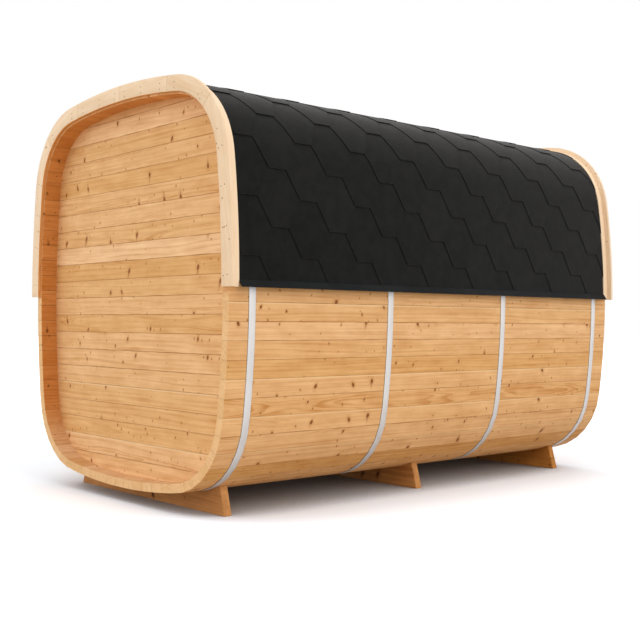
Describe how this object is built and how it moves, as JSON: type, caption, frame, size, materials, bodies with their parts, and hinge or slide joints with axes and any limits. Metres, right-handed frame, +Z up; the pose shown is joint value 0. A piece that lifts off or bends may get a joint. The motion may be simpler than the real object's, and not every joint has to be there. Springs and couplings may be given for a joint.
{
  "type": "cube sauna",
  "caption": "Hooped stave sauna shell with a rounded square section, closed boarded end walls, wooden cradles and a hexagon-shingled roof over its upper half.",
  "frame": {"origin": "on the ground under the middle of the shell", "axes": "+Z up, +Y along the staves, +X across the shell; the front end wall faces -Y"},
  "size_m": [1.994, 3.036, 2.168],
  "materials": {
    "shell_wood": "oiled softwood staves with knots",
    "wall_boards": "oiled softwood tongue and groove boards",
    "trim_wood": "planed pale softwood, untreated",
    "cradle_wood": "brown stained softwood",
    "roof_shingle": "matt black bitumen shingle",
    "drip_edge": "matt black folded edge strip",
    "hoop_steel": "bright rolled steel band"
  },
  "bodies": {
    "root": {"shell_floor": "shell_wood", "shell_low_corner_right": "shell_wood", "shell_side_right": "shell_wood", "shell_high_corner_right": "shell_wood", "shell_crown": "shell_wood", "shell_high_corner_left": "shell_wood", "shell_side_left": "shell_wood", "shell_low_corner_left": "shell_wood", "front_wall": "wall_boards", "rear_wall": "wall_boards", "hoop_1": "hoop_steel", "hoop_2": "hoop_steel", "hoop_3": "hoop_steel", "hoop_4": "hoop_steel", "cradle_front": "cradle_wood", "cradle_middle": "cradle_wood", "cradle_rear": "cradle_wood", "cover_side_right": "roof_shingle", "cover_corner_right": "roof_shingle", "cover_crown": "roof_shingle", "cover_corner_left": "roof_shingle", "cover_side_left": "roof_shingle", "drip_edge_right": "drip_edge", "drip_edge_left": "drip_edge", "batten_front_right": "trim_wood", "batten_front_crown": "trim_wood", "batten_front_left": "trim_wood", "batten_rear_right": "trim_wood", "batten_rear_crown": "trim_wood", "batten_rear_left": "trim_wood", "trim_front_leg_right": "trim_wood", "trim_front_shoulder_right": "trim_wood", "trim_front_crown_right": "trim_wood", "trim_front_leg_left": "trim_wood", "trim_front_shoulder_left": "trim_wood", "trim_front_crown_left": "trim_wood", "trim_rear_leg_right": "trim_wood", "trim_rear_shoulder_right": "trim_wood", "trim_rear_crown_right": "trim_wood", "trim_rear_leg_left": "trim_wood", "trim_rear_shoulder_left": "trim_wood", "trim_rear_crown_left": "trim_wood"}
  },
  "joints": []
}
